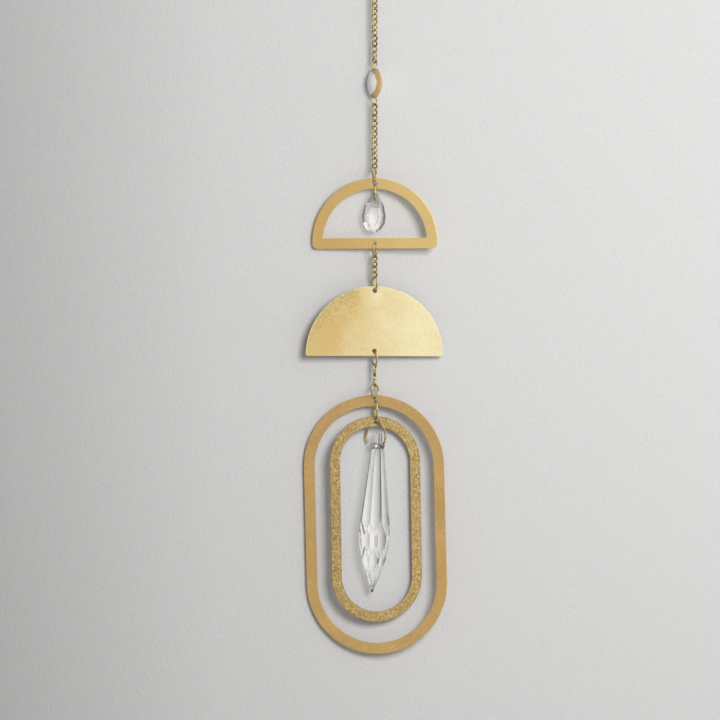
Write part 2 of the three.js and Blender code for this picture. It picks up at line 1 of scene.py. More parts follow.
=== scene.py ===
# %% [markdown]
# # A hanging suncatcher
# Brass shapes, clear cut crystals and a gilt-edged bead hang under each other from one curb chain.
# This lesson builds them one after the other: first the camera and the light, then the finishes,
# then wire, sheet, bead and crystal. The model that comes in first holds the size and the place of
# every piece. Brass and bead are each made in a small space of their own and then seated on it,
# while the crystals keep its shapes.

# %% Load the model
import math

import bmesh
import bpy
import numpy as np
from mathutils import Matrix, Vector


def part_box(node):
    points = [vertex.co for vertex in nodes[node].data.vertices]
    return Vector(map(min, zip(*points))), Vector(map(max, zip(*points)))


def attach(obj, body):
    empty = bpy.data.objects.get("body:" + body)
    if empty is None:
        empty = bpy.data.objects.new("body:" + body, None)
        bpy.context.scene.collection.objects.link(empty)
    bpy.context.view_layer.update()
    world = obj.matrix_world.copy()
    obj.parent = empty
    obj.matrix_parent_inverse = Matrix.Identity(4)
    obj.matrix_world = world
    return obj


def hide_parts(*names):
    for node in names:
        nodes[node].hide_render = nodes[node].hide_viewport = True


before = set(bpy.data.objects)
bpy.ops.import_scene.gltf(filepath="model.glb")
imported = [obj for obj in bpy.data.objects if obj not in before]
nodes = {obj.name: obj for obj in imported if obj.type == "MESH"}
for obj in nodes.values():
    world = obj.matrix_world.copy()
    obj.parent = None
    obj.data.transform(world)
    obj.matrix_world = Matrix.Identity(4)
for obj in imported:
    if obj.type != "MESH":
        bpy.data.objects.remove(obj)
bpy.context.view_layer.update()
print("nodes to dress:", len(nodes))

# %% [markdown]
# ## Camera
# The photograph was taken level and straight on. A camera can be fitted to such a picture in two
# ways: by matching its perspective, or by the scale at one plane. The pieces all hang in one plane,
# so the second is enough: one pixel is 0.48 mm there, and the lens follows from the distance.

# %% Camera
MM = 0.001
PIXEL = 0.48 * MM
PICTURE = 720
HANGING_POINT = (374.6, -37.5)
CAMERA_DISTANCE = 2.6


def at_pixel(x, y, depth=0.0):
    return Vector(((x - HANGING_POINT[0]) * PIXEL, depth, -(y - HANGING_POINT[1]) * PIXEL))


camera_data = bpy.data.cameras.new("camera")
camera_data.sensor_width = 36
camera_data.lens = 36 * CAMERA_DISTANCE / (PICTURE * PIXEL)
camera = bpy.data.objects.new("camera", camera_data)
camera.location = at_pixel(PICTURE / 2, PICTURE / 2, -CAMERA_DISTANCE)
camera.rotation_euler = (math.radians(90), 0, 0)
bpy.context.collection.objects.link(camera)
bpy.context.scene.camera = camera
bpy.context.scene.view_settings.view_transform = "Standard"
print("lens:", round(camera_data.lens, 1), "mm")

# %% [markdown]
# ## Making nodes and node groups
# A material can be put together by hand in the shader editor, or written down. Written down, it
# needs three small helpers: one that adds a node and fills in its inputs, one that starts a group
# and one that starts a material. A group holds an effect that several finishes share, such as
# grain, and shows only named sockets. The rest are short names for steps that often come back.

# %% Helpers for nodes and groups
def add(tree, kind, inputs=None, **settings):
    made = tree.nodes.new("ShaderNode" + kind)
    for key, value in settings.items():
        setattr(made, key, value)
    for key, value in (inputs or {}).items():
        if isinstance(value, bpy.types.NodeSocket):
            tree.links.new(value, made.inputs[key])
        else:
            made.inputs[key].default_value = value
    return made


def new_group(name, inputs, outputs):
    tree = bpy.data.node_groups.new(name, "ShaderNodeTree")
    for label, kind, value in inputs:
        socket = tree.interface.new_socket(label, in_out="INPUT", socket_type="NodeSocket" + kind)
        if value is not None:
            socket.default_value = value
    for label, kind in outputs:
        tree.interface.new_socket(label, in_out="OUTPUT", socket_type="NodeSocket" + kind)
    return tree, tree.nodes.new("NodeGroupInput").outputs, tree.nodes.new("NodeGroupOutput").inputs


def use_group(tree, group, inputs):
    return add(tree, "Group", inputs, node_tree=group).outputs


def new_material(name):
    material = bpy.data.materials.new(name)
    material.use_nodes = True
    tree = material.node_tree
    return material, tree, tree.nodes["Principled BSDF"]


def colour(red, green, blue):
    """A colour as it is read off a picture, 0 to 255, turned into the linear one that nodes use."""
    linear = []
    for part in (red, green, blue):
        part = part / 255
        linear.append(part / 12.92 if part <= 0.04045 else ((part + 0.055) / 1.055) ** 2.4)
    return (*linear, 1.0)


def blend(tree, amount, low, high):
    """Mixes two colours by a mask."""
    return add(tree, "Mix", {0: amount, 6: low, 7: high}, data_type="RGBA").outputs[2]


def spread(tree, value, low, high, from_low=0.0, from_high=1.0):
    """Takes a value from one range to another, and keeps it inside."""
    made = add(tree, "MapRange", {"Value": value, "From Min": from_low, "From Max": from_high,
                                  "To Min": low, "To Max": high})
    return made.outputs[0]


def times(tree, first, second):
    return add(tree, "Math", {0: first, 1: second}, operation="MULTIPLY").outputs[0]


def plus(tree, first, second, clamp=False):
    return add(tree, "Math", {0: first, 1: second}, operation="ADD", use_clamp=clamp).outputs[0]


def larger(tree, first, second):
    return add(tree, "Math", {0: first, 1: second}, operation="MAXIMUM").outputs[0]


def axes(tree, place):
    """How far right, back and up a point is."""
    return add(tree, "SeparateXYZ", {0: place}).outputs


def noise(tree, place, scale, detail, roughness=0.5, distortion=0.0):
    return add(tree, "TexNoise", {"Vector": place, "Scale": scale, "Detail": detail,
                                  "Roughness": roughness, "Distortion": distortion}).outputs[0]


def let_through(tree, shader, share):
    """Mixes plain transparency into a finish."""
    clear = add(tree, "BsdfTransparent").outputs[0]
    either = add(tree, "MixShader", {0: share, 1: shader.outputs[0], 2: clear})
    tree.links.new(either.outputs[0], tree.nodes["Material Output"].inputs["Surface"])


# %% [markdown]
# ## Surroundings
# The suncatcher hangs a few millimetres in front of a pale plastered wall, and daylight comes from
# the right. A backdrop can be a curved sweep or a flat wall. A flat one catches the same narrow
# shadows as the real wall. Seen from behind it would hide everything, so its material lets through
# what meets its back. How the daylight falls off across the wall is painted into its colour: darker
# to the left and lighter towards the top. A clear drop gathers light on the wall behind it. A path
# tracer is slow to find that light, so the wall is simply made brighter where it is seen through
# glass.

# %% Wall and floor
WALL_DEPTH = 7.4 * MM
WALL_TOP = 1.2
FLOOR_HEIGHT = -0.46
HALF_WIDTH = 2.0
FLOOR_REACH = 3.0
WALL_PAINTED_FALLOFF_GREYS = (0.391, 0.50, 0.526, 0.552)
GATHERED = 2.0


def flat_stage(name, corners, material):
    mesh = bpy.data.meshes.new(name)
    mesh.from_pydata(corners, [], [(0, 1, 2, 3)])
    mesh.materials.append(material)
    made = bpy.data.objects.new(name, mesh)
    bpy.context.collection.objects.link(made)


def plaster():
    material, tree, shader = new_material("plaster")
    place = add(tree, "TexCoord").outputs["Object"]
    right, _, up = axes(tree, place)
    # Painted light: the wall's grey is darker to the left and lighter towards the top, as the
    # window's light falls off.
    side = spread(tree, right, 0.0, 1.0, -0.18, 0.17)
    ramp = add(tree, "ValToRGB", {0: side})
    stops = ramp.color_ramp.elements
    stops.new(0.3)
    stops.new(0.55)
    for stop, grey in zip(stops, WALL_PAINTED_FALLOFF_GREYS):
        stop.color = (grey, grey * 0.995, grey * 0.995, 1)
    painted_light_up = spread(tree, up, 0.955, 1.06, -0.36, -0.02)
    gathered = spread(tree, add(tree, "LightPath").outputs["Is Transmission Ray"], 1.0, GATHERED)
    light = times(tree, painted_light_up, gathered)
    lit = add(tree, "VectorMath", {0: ramp.outputs[0], "Scale": light}, operation="SCALE")
    tree.links.new(lit.outputs[0], shader.inputs["Base Color"])
    shader.inputs["Roughness"].default_value = 0.9
    grit = noise(tree, place, 750.0, 4.0, roughness=0.6)
    bump = add(tree, "Bump", {"Height": grit, "Strength": 0.38, "Distance": 1.2 * MM})
    tree.links.new(bump.outputs[0], shader.inputs["Normal"])
    let_through(tree, shader, add(tree, "NewGeometry").outputs["Backfacing"])
    return material


def pale_floor():
    material, _, shader = new_material("pale_floor")
    shader.inputs["Base Color"].default_value = colour(214, 212, 208)
    shader.inputs["Roughness"].default_value = 0.8
    return material


flat_stage("wall", [(x, WALL_DEPTH, z) for x, z in (
    (-HALF_WIDTH, FLOOR_HEIGHT), (HALF_WIDTH, FLOOR_HEIGHT),
    (HALF_WIDTH, WALL_TOP), (-HALF_WIDTH, WALL_TOP))], plaster())
flat_stage("floor", [(x, y, FLOOR_HEIGHT) for x, y in (
    (-HALF_WIDTH, -FLOOR_REACH), (HALF_WIDTH, -FLOOR_REACH),
    (HALF_WIDTH, FLOOR_REACH), (-HALF_WIDTH, FLOOR_REACH))], pale_floor())
print("wall", WALL_DEPTH / MM, "mm behind the hanging line")

# %% [markdown]
# Brass shows what stands round it more than its own colour, so the room matters. A plain grey world
# would leave the wires flat. Here the world is brighter to the right, with a window in it, and darker
# to the left and below. A lamp on the same side casts the shadows. It is left out of reflections,
# because a lamp small enough for such shadows would burn white spots into the satin sheets. The
# room is strong in reflections and weak on the wall, where the lamp should rule. What the crystals
# bend into their edges is an evener room, or their points would fill with black.

# %% World and lamps
REFLECTED = 1.15
SCATTERED = 0.38
WINDOW_WAY = Vector((0.52, -0.78, 0.34)).normalized()
LAMP_OFFSET = Vector((0.31, -1.06, 0.23))
LAMP_SIZE = 0.34
LAMP_POWER = 10.6


def room_light():
    world = bpy.data.worlds.new("room")
    bpy.context.scene.world = world
    world.use_nodes = True
    tree = world.node_tree
    way = add(tree, "TexCoord").outputs["Generated"]
    right, _, up = axes(tree, way)
    sides = blend(tree, spread(tree, right, 0.0, 1.0, -0.95, 0.6),
                  (0.16, 0.16, 0.16, 1), (1.25, 1.25, 1.24, 1))
    room = blend(tree, spread(tree, up, 0.0, 1.0, -0.6, 0.05), (0.27, 0.265, 0.26, 1), sides)
    towards = add(tree, "VectorMath", {0: way, 1: WINDOW_WAY}, operation="DOT_PRODUCT")
    pane = spread(tree, towards.outputs["Value"], 0.0, 1.0, 0.91, 0.985)
    room = blend(tree, pane, room, (2.8, 2.8, 2.8, 1))
    rays = add(tree, "LightPath").outputs
    through_glass = spread(tree, rays["Is Transmission Ray"], 0.0, 0.85)
    background = tree.nodes["Background"]
    tree.links.new(blend(tree, through_glass, room, (0.72, 0.72, 0.72, 1)), background.inputs[0])
    tree.links.new(spread(tree, rays["Is Diffuse Ray"], REFLECTED, SCATTERED), background.inputs[1])


def soft_lamp(name, offset, size, power):
    data = bpy.data.lights.new(name, "AREA")
    data.size = size
    data.energy = power
    lamp = bpy.data.objects.new(name, data)
    lamp.location = at_pixel(PICTURE / 2, PICTURE / 2) + offset
    lamp.rotation_euler = (-offset).to_track_quat("-Z", "Y").to_euler()
    lamp.visible_glossy = False
    lamp.visible_camera = False
    bpy.context.collection.objects.link(lamp)


room_light()
soft_lamp("window", LAMP_OFFSET, LAMP_SIZE, LAMP_POWER)

# %% [markdown]
# ## Brass
# Four sheets of brass hang here, and no two are finished alike: one is satin, one is pale with a
# faint orange peel, one is matte and one is hammered all over. They share four effects. Grain is
# the fine tooth of the sheet, mottle is its small changes of tone, clouds are the broad ones that
# handling leaves, and flecks are small dark pits. Each is a noise texture. One group makes all four.

# %% Group: sheet grain
def sheet_grain_group():
    tree, inside, out = new_group(
        "sheet_grain",
        [("Place", "Vector", None), ("Grain Scale", "Float", 2500.0),
         ("Mottle Scale", "Float", 900.0), ("Cloud Scale", "Float", 60.0),
         ("Fleck Level", "Float", 0.66)],
        [("Height", "Float"), ("Mottle", "Float"), ("Cloud", "Float"), ("Fleck", "Float")])

    def layer(scale, detail, roughness, shift):
        """Noise that is moved by a shift of its own, so that no two layers fall together."""
        moved = add(tree, "VectorMath", {0: inside["Place"], 1: (shift,) * 3}, operation="ADD")
        return noise(tree, moved.outputs[0], inside[scale], detail, roughness)

    mottle = layer("Mottle Scale", 2.0, 0.6, shift=0.1)
    pits = layer("Mottle Scale", 3.0, 0.7, shift=0.7)
    cloud = layer("Cloud Scale", 3.0, 0.5, shift=0.3)
    above = plus(tree, inside["Fleck Level"], 0.08)
    tree.links.new(layer("Grain Scale", 3.0, 0.6, shift=0.0), out["Height"])
    tree.links.new(spread(tree, mottle, 0.0, 1.0, 0.3, 0.7), out["Mottle"])
    tree.links.new(spread(tree, cloud, 0.0, 1.0, 0.35, 0.65), out["Cloud"])
    tree.links.new(spread(tree, pits, 0.0, 1.0, inside["Fleck Level"], above), out["Fleck"])
    return tree


sheet_grain = sheet_grain_group()
print("group:", sheet_grain.name)

# %% [markdown]
# One oval is hammered in every direction, so that it glitters, and the plate has a trace of the
# same. The dents could be modelled, but there are thousands, so they are bumps. Noise that is bent
# by more noise gives dents that are long and short and lie every way. Where a dent is deep, the
# hammered sheet is also darker.

# %% Group: dents
def dents_group():
    tree, inside, out = new_group(
        "dents",
        [("Place", "Vector", None), ("Dent Scale", "Float", 900.0), ("Bend", "Float", 1.5)],
        [("Height", "Float"), ("Deep", "Float")])
    bent = noise(tree, inside["Place"], inside["Dent Scale"], 2.0, 0.65, inside["Bend"])
    tree.links.new(bent, out["Height"])
    tree.links.new(spread(tree, bent, 1.0, 0.0, 0.3, 0.55), out["Deep"])
    return tree


dents = dents_group()
print("group:", dents.name)

# %% [markdown]
# The four sheet finishes come from one function. It mixes two brass tones by a mask of clouds and
# mottle. A second mask, of what is worn, darkens the flecks and makes them rougher, because a
# tarnished spot is also a duller one. A sheet with marks or painted light of its own hands in a
# function that may change both masks.

# %% Sheet brass
def brass_sheet(name, light, dark, roughness, grain_depth, fleck_level, fleck_tone,
                dent_scale=None, dent_depth=0.0, dent_dark=0.0, marks_and_painted_light=None, mottle_scale=900.0):
    material, tree, shader = new_material(name)
    shader.inputs["Metallic"].default_value = 1.0
    place = add(tree, "TexCoord").outputs["Object"]
    grain = use_group(tree, sheet_grain, {"Place": place, "Fleck Level": fleck_level,
                                          "Mottle Scale": mottle_scale})
    share = times(tree, plus(tree, grain["Cloud"], grain["Mottle"]), 0.5)
    worn = grain["Fleck"]
    if marks_and_painted_light:
        share, worn = marks_and_painted_light(tree, place, share, worn)
    tone = blend(tree, share, dark, light)
    bump = add(tree, "Bump", {"Height": grain["Height"], "Distance": grain_depth, "Strength": 1.0})
    if dent_scale:
        dent = use_group(tree, dents, {"Place": place, "Dent Scale": dent_scale})
        bump = add(tree, "Bump", {"Height": dent["Height"], "Distance": dent_depth,
                                  "Strength": 1.0, "Normal": bump.outputs[0]})
        worn = larger(tree, worn, times(tree, dent["Deep"], dent_dark))
    tree.links.new(blend(tree, worn, tone, fleck_tone), shader.inputs["Base Color"])
    tree.links.new(spread(tree, worn, roughness[0], roughness[1]), shader.inputs["Roughness"])
    tree.links.new(bump.outputs[0], shader.inputs["Normal"])
    return material


# %% [markdown]
# Three sheets have marks and painted light of their own. The open half-round has a painted sheen
# that gets lighter towards the right, where the light comes from. The plate has the same painted
# sheen, a painted highlight glowing under its top hole and a painted highlight along its outer rim
# and bottom edge, while a crust of small dark specks sits along its upper left rim, where it was
# handled. The hammered oval is bright and dark by turns, in spots a little larger than its dents,
# and it is painted darker towards the left, as shade. The masks come from plain measures: how far
# right a point is, how far up, and how far from the middle of the arc.

# %% Marks and painted light on three sheets
def nudge(tree, value, share, amount):
    """Adds a little of the grain's share to a mask, so that the mask isn't even."""
    return plus(tree, value, spread(tree, share, -amount, amount), clamp=True)


def frame_painted_sheen(tree, place, share, worn):
    # Painted sheen: lighter towards the right, where the light comes from.
    painted_sheen = spread(tree, axes(tree, place)[0], 0.05, 0.92, -14 * MM, 12 * MM)
    return nudge(tree, painted_sheen, share, 0.22), worn


def plate_painted_light_and_crust(tree, place, share, worn):
    right, _, up = axes(tree, place)
    out = add(tree, "VectorMath", {0: place}, operation="LENGTH").outputs["Value"]
    # Painted sheen: lighter towards the right, where the light comes from.
    painted_sheen = spread(tree, right, 0.05, 0.9, -26 * MM, 20 * MM)
    # A painted highlight glowing under the top hole.
    from_painted_glow = add(tree, "VectorMath", {0: place, 1: (1 * MM, 0, 27.5 * MM)}, operation="DISTANCE")
    painted_glow = spread(tree, from_painted_glow.outputs["Value"], 0.9, 0.0, 0.0, 14 * MM)
    rim = spread(tree, out, 0.0, 1.0, 17 * MM, 31 * MM)
    left = spread(tree, right, 1.0, 0.0, -10 * MM, -5 * MM)
    high = spread(tree, up, 0.2, 1.0, 2 * MM, 15 * MM)
    crust = times(tree, times(tree, rim, left), high)
    specks = noise(tree, place, 1450.0, 3.0, roughness=0.7)
    above = plus(tree, specks, spread(tree, crust, -0.66, -0.45))
    worn = larger(tree, worn, spread(tree, above, 0.0, 0.75, 0.0, 0.12))
    # The crust of specks lowers the painted sheen and highlight where it sits.
    painted_sheen = plus(tree, larger(tree, painted_sheen, painted_glow), times(tree, crust, -0.55), clamp=True)
    # A painted highlight along the outer rim and the bottom edge.
    edge = larger(tree, spread(tree, out, 0.0, 0.8, 32.3 * MM, 32.6 * MM),
                  spread(tree, up, 0.8, 0.0, -0.45 * MM, -0.2 * MM))
    return larger(tree, nudge(tree, painted_sheen, share, 0.24), edge), worn


def hammer_spots_and_painted_shade(tree, place, _, worn):
    struck = noise(tree, place, 1350.0, 3.0, roughness=0.7)
    bright = spread(tree, struck, 0.0, 1.0, 0.28, 0.76)
    # Painted shade: darker towards the left, away from the light. The bright spots above are random
    # tone.
    painted_shade_left = spread(tree, axes(tree, place)[0], -0.10, -0.04, -20 * MM, 20 * MM)
    return plus(tree, bright, painted_shade_left, clamp=True), worn


satin_brass = brass_sheet(
    "satin_brass", light=(1.0, 0.74, 0.31, 1), dark=(0.85, 0.57, 0.22, 1), roughness=(0.38, 0.46),
    grain_depth=0.014 * MM, fleck_level=0.70, fleck_tone=(0.62, 0.41, 0.15, 1), marks_and_painted_light=frame_painted_sheen)
pale_brass = brass_sheet(
    "pale_brass", light=(0.85, 0.77, 0.48, 1), dark=(0.66, 0.48, 0.20, 1), roughness=(0.32, 0.42),
    grain_depth=0.03 * MM, fleck_level=0.70, fleck_tone=(0.42, 0.31, 0.12, 1),
    dent_scale=700.0, dent_depth=0.01 * MM, marks_and_painted_light=plate_painted_light_and_crust)
matte_brass = brass_sheet(
    "matte_brass", light=(0.77, 0.51, 0.21, 1), dark=(0.60, 0.39, 0.155, 1), roughness=(0.42, 0.5),
    grain_depth=0.11 * MM, fleck_level=0.62, fleck_tone=(0.50, 0.325, 0.125, 1))
hammered_brass = brass_sheet(
    "hammered_brass", light=(0.67, 0.49, 0.225, 1), dark=(0.16, 0.103, 0.036, 1),
    roughness=(0.24, 0.36), grain_depth=0.04 * MM, fleck_level=0.60,
    fleck_tone=(0.14, 0.095, 0.035, 1), dent_scale=2300.0, dent_depth=0.03 * MM, dent_dark=0.4,
    marks_and_painted_light=hammer_spots_and_painted_shade, mottle_scale=1500.0)
print("sheet finishes:", [m.name for m in (satin_brass, pale_brass, matte_brass, hammered_brass)])

# %% [markdown]
# Wire is drawn, not rolled, so it is smoother and shinier than sheet. The jump rings are bright
# yellow-brown brass. The chain has aged more: a dark olive skin sits on it in patches. Each link is
# also made darker on its right limb, with more of the same olive tone. At this size a noise mask
# between two tones is enough.

# %% Wire brass
def brass_wire(name, bright, aged, roughness, patch_scale, aged_share, darker_right_limb=0.0):
    material, tree, shader = new_material(name)
    shader.inputs["Metallic"].default_value = 1.0
    place = add(tree, "TexCoord").outputs["Object"]
    grain = use_group(tree, sheet_grain, {"Place": place, "Grain Scale": 3000.0,
                                          "Cloud Scale": patch_scale})
    # Each link is made darker on its right limb, by more of the olive tone there.
    right = spread(tree, axes(tree, place)[0], 0.0, darker_right_limb, -0.2 * MM, 0.8 * MM)
    patch = plus(tree, grain["Cloud"], right)
    amount = spread(tree, patch, 0.0, 1.0, 1.0 - aged_share - 0.3, 1.0 - aged_share + 0.3)
    tree.links.new(blend(tree, amount, bright, aged), shader.inputs["Base Color"])
    tree.links.new(spread(tree, amount, roughness[0], roughness[1]), shader.inputs["Roughness"])
    bump = add(tree, "Bump", {"Height": grain["Height"], "Distance": 0.003 * MM, "Strength": 1.0})
    tree.links.new(bump.outputs[0], shader.inputs["Normal"])
    return material


ring_brass = brass_wire(
    "ring_brass", bright=(0.66, 0.52, 0.25, 1), aged=(0.34, 0.26, 0.105, 1),
    roughness=(0.20, 0.30), patch_scale=420.0, aged_share=0.35)
chain_brass = brass_wire(
    "chain_brass", bright=(0.68, 0.56, 0.26, 1), aged=(0.22, 0.17, 0.065, 1),
    roughness=(0.20, 0.32), patch_scale=500.0, aged_share=0.42, darker_right_limb=0.12)
print("wire finishes:", ring_brass.name, chain_brass.name)

# %% [markdown]
# ## Seating a piece
# A piece is built in its own small space, turned, and then moved until the middle of its box is the
# middle of the box that the model gives for it. The mesh keeps its own small coordinates, so a
# texture can still ask how far a point is from the bead's axis or from the middle of an arc.

# %% Seating
def seat(piece, node, material, turn=0.0, lean=0.0):
    """Turns the piece, and moves its box's middle to the middle of the node's box."""
    piece.data.materials.clear()
    piece.data.materials.append(material)
    leaning = Matrix.Rotation(-math.radians(lean), 4, "Y")
    turned = leaning @ Matrix.Rotation(math.radians(turn), 4, "Z")
    points = np.array([turned @ vertex.co for vertex in piece.data.vertices])
    low, high = (np.array(corner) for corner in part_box(node))
    middle = (points.min(0) + points.max(0)) / 2
    piece.matrix_world = Matrix.Translation(Vector((low + high) / 2 - middle)) @ turned
    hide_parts(node)
    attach(piece, "root")
    off = (points.max(0) - points.min(0) - (high - low)) / MM
    print(f"{piece.name}: {len(piece.data.vertices)} vertices, off by", np.round(off, 2), "mm")


def new_piece(name, points, faces):
    mesh = bpy.data.meshes.new(name)
    mesh.from_pydata([tuple(point) for point in points], [], faces)
    mesh.update()
    mesh.shade_smooth()
    made = bpy.data.objects.new(name, mesh)
    bpy.context.collection.objects.link(made)
    return made


# %% [markdown]
# ## Wire
# Everything that links two pieces is bent wire: rings, chain links and the hook of the prism. A
# curve with a round bevel would do for one, but the links have to be joined into runs. So one
# function carries a circle along a path. At each step the circle turns only as much as the path
# does, which keeps the surface from twisting.

# %% Carry a circle along a path
FIRST_SIDE = (0.3, 0.9, 0.2)
CUT_END_SHARE = 0.72
CUT_END_BEVEL = 0.02


def wire(path, thickness, sides=12, closed=True):
    """Points and faces of a round wire along a path, in metres."""
    path = np.array(path, float)
    if closed:
        along = np.roll(path, -1, 0) - np.roll(path, 1, 0)
    else:
        along = np.gradient(path, axis=0)
    along /= np.linalg.norm(along, axis=1)[:, None]
    side = np.cross(along[0], FIRST_SIDE)
    across = []
    for way in along:
        side = side - way * np.dot(side, way)
        side = side / np.linalg.norm(side)
        across.append(side)
    across = np.array(across)
    up = np.cross(along, across)
    miss = 0.0
    if closed:
        back = across[-1] - along[0] * np.dot(across[-1], along[0])
        miss = math.atan2(np.dot(back, up[0]), np.dot(back, across[0]))
    radius = np.full(len(path), thickness / 2)
    if not closed:
        radius[[0, -1]] *= CUT_END_SHARE
    points = []
    for i, middle in enumerate(path):
        for j in range(sides):
            angle = 2 * math.pi * j / sides - miss * i / len(path)
            out = math.cos(angle) * across[i] + math.sin(angle) * up[i]
            points.append(middle + radius[i] * out)
    faces = []
    for i in range(len(path) if closed else len(path) - 1):
        here, there = i * sides, (i + 1) % len(path) * sides
        for j in range(sides):
            k = (j + 1) % sides
            faces.append((here + j, here + k, there + k, there + j))
    if not closed:
        last = (len(path) - 1) * sides
        faces.append(tuple(range(sides - 1, -1, -1)))
        faces.append(tuple(range(last, last + sides)))
    return points, faces


def open_ring_path(radius, joint, gap=0.05 * MM, steps=56):
    """A ring that was closed with pliers: its two ends meet at the angle given by joint."""
    half = gap / 2 / radius
    first = math.radians(joint) + half
    last = first + 2 * math.pi - 2 * half
    bevels = [first + CUT_END_BEVEL, last - CUT_END_BEVEL]
    angles = np.sort(np.concatenate([np.linspace(first, last, steps), bevels]))
    return [(radius * math.cos(a), 0.0, radius * math.sin(a)) for a in angles]


print("a ring's path has", len(open_ring_path(3.3 * MM, 180)), "points")

# %% [markdown]
# ## Jump rings
# A jump ring is one turn of wire, cut and closed again with pliers, so a fine joint is left. Which
# way each one faces was read from the photograph, apart from the hanging ring, which isn't in it.
# Nearly all hang almost edge-on, because each passes through a hole in a sheet that faces the
# viewer. Each ring below has its wire, its turn and where its joint is, both in degrees.

# %% Jump rings
RING_WIRE = 0.9 * MM
OVAL_WIRE = 1.0 * MM

rings = {
    "hanging_ring": (RING_WIRE, 73, 250),
    "open_half_round_ring": (RING_WIRE, 76, 160),
    "teardrop_ring": (RING_WIRE, -88, 20),
    "open_half_round_lower_ring": (RING_WIRE, 76, 340),
    "half_round_plate_ring": (RING_WIRE, -69, 200),
    "half_round_plate_lower_ring": (RING_WIRE, -66, 10),
    "outer_oval_ring": (RING_WIRE, 60, 184),
    "oval_link_ring": (OVAL_WIRE, -81, 0),
}
for node, (thickness, turn, joint) in rings.items():
    low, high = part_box(node)
    path = open_ring_path((high[2] - low[2] - thickness) / 2, joint)
    ring = new_piece(node + "_wire", *wire(path, thickness, sides=16, closed=False))
    seat(ring, node, turn=turn, material=ring_brass)

# %% [markdown]
# ## Curb chain
# A curb link starts as a plain oval and is twisted, so that a row of them lies flat. Its middle line
# is an ellipse that swings forwards and back twice on the way round. Real links are loose. In the
# model a run is one body, so here too each run is one mesh, and the links keep the model's spacing.
# Each run below has its number of links, how far each link is turned and how far the whole run is.

# %% Chain runs
CHAIN_WIRE = 0.78 * MM
LINK_DAYLIGHT = 0.955 * MM
LINK_BITE = 0.06 * MM
LINK_PLAY = 0.22 * MM
LINK_ROOM = 2 * CHAIN_WIRE + LINK_DAYLIGHT
LINK_PITCH = LINK_ROOM + LINK_BITE
LINK_HALF_LENGTH = (LINK_ROOM + CHAIN_WIRE) / 2
LINK_HALF_WIDTH = (RING_WIRE + 2 * LINK_PLAY + CHAIN_WIRE) / 2
LINK_TWIST = 0.56 * CHAIN_WIRE


def link_path(steps=30):
    angles = np.linspace(0, 2 * math.pi, steps, endpoint=False)
    return [(LINK_HALF_WIDTH * math.cos(a), -LINK_TWIST * math.sin(2 * a),
             LINK_HALF_LENGTH * math.sin(a)) for a in angles]


def chain_run(name, links, turn_of):
    points, faces = [], []
    link_points, link_faces = wire(link_path(), CHAIN_WIRE, sides=10)
    for i in range(links):
        turned = Matrix.Rotation(math.radians(turn_of(i)), 4, "Z")
        place = Matrix.Translation((0, 0, -i * LINK_PITCH)) @ turned
        first = len(points)
        points += [place @ Vector(point) for point in link_points]
        faces += [tuple(first + corner for corner in face) for face in link_faces]
    return new_piece(name, points, faces)


runs = {
    "upper_chain": (15, lambda i: -50 * max(0, i - 9) / 5, 0),
    "middle_chain": (12, lambda i: 0, 0),
    "upper_short_chain": (4, lambda i: 0, 0),
    "lower_short_chain": (4, lambda i: (-30, 0, 0, 30)[i], 90),
}
for node, (links, turn_of, turn) in runs.items():
    run = chain_run(node + "_links", links, turn_of)
    seat(run, node, turn=turn, material=chain_brass)

# %% [markdown]
# The bead's two small rings are long and get narrow towards the bead, like a drop. The prism hangs
# from an open hook: round nearly all the way, with one free end, while the other end bends level and
# runs on into the bore.

# %% Bead rings and the prism's hook
BEAD_RING_WIRE = 0.66 * MM
BEAD_RING_OPENING = 2.3 * MM
BEAD_RING_HEIGHT = 3.74 * MM
BEAD_RING_TURN = 35
NARROWING = 0.62
NARROW_FROM = -0.15


def drop_ring_path(radius, straight, narrow_end, steps=48):
    path = []
    for a in np.linspace(0, 2 * math.pi, steps, endpoint=False):
        height = radius * math.sin(a) + max(-1, min(1, 2 * math.sin(a))) * straight / 2
        towards_bead = narrow_end * height / (radius + straight / 2)
        narrow = 1 - NARROWING * max(0.0, towards_bead - NARROW_FROM)
        path.append((radius * math.cos(a) * narrow, 0.0, height))
    return path


for node, narrow_end in (("bead_upper_ring", -1), ("bead_lower_ring", 1)):
    path = drop_ring_path((BEAD_RING_OPENING + BEAD_RING_WIRE) / 2,
                          BEAD_RING_HEIGHT - BEAD_RING_OPENING, narrow_end)
    seat(new_piece(node + "_wire", *wire(path, BEAD_RING_WIRE)), node, turn=BEAD_RING_TURN,
         material=ring_brass)


def hook_path(radius, free_end, entry, dip, reach):
    start, stop = math.pi + math.radians(free_end), -math.radians(entry)
    path = [(radius * math.cos(a), 0.0, radius * math.sin(a)) for a in np.linspace(start, stop, 60)]
    mouth = np.array(path[-1])
    bend = mouth + (-dip * math.tan(math.radians(entry)), 0.0, -dip)
    run = np.array((2 * bend[0] - mouth[0], 0.0, bend[2]))
    for t in np.linspace(0.125, 1, 8):
        path.append(tuple((1 - t) ** 2 * mouth + 2 * t * (1 - t) * bend + t * t * run))
    end = np.array((mouth[0] - reach, 0.0, bend[2]))
    for t in (0.3, 0.6, 0.95, 1.0):
        path.append(tuple(run + t * (end - run)))
    path.insert(1, tuple(np.array(path[0]) * 0.97 + np.array(path[1]) * 0.03))
    return path


bend = hook_path(radius=6.5 * MM, free_end=31, entry=46, dip=0.37 * MM, reach=3.3 * MM)
hook = new_piece("prism_hook", *wire(bend, OVAL_WIRE, sides=16, closed=False))
seat(hook, "prism_ring", turn=-45, material=ring_brass)

# %% [markdown]
# ## Sheet
# The flat shapes are stamped from sheet brass, and the punch leaves their edges slightly round. A
# flat curve can be filled, thickened and rounded in one step, and any closed line inside another
# becomes a hole. So each sheet is drawn as a few outlines in millimetres, and then turned into a
# mesh.

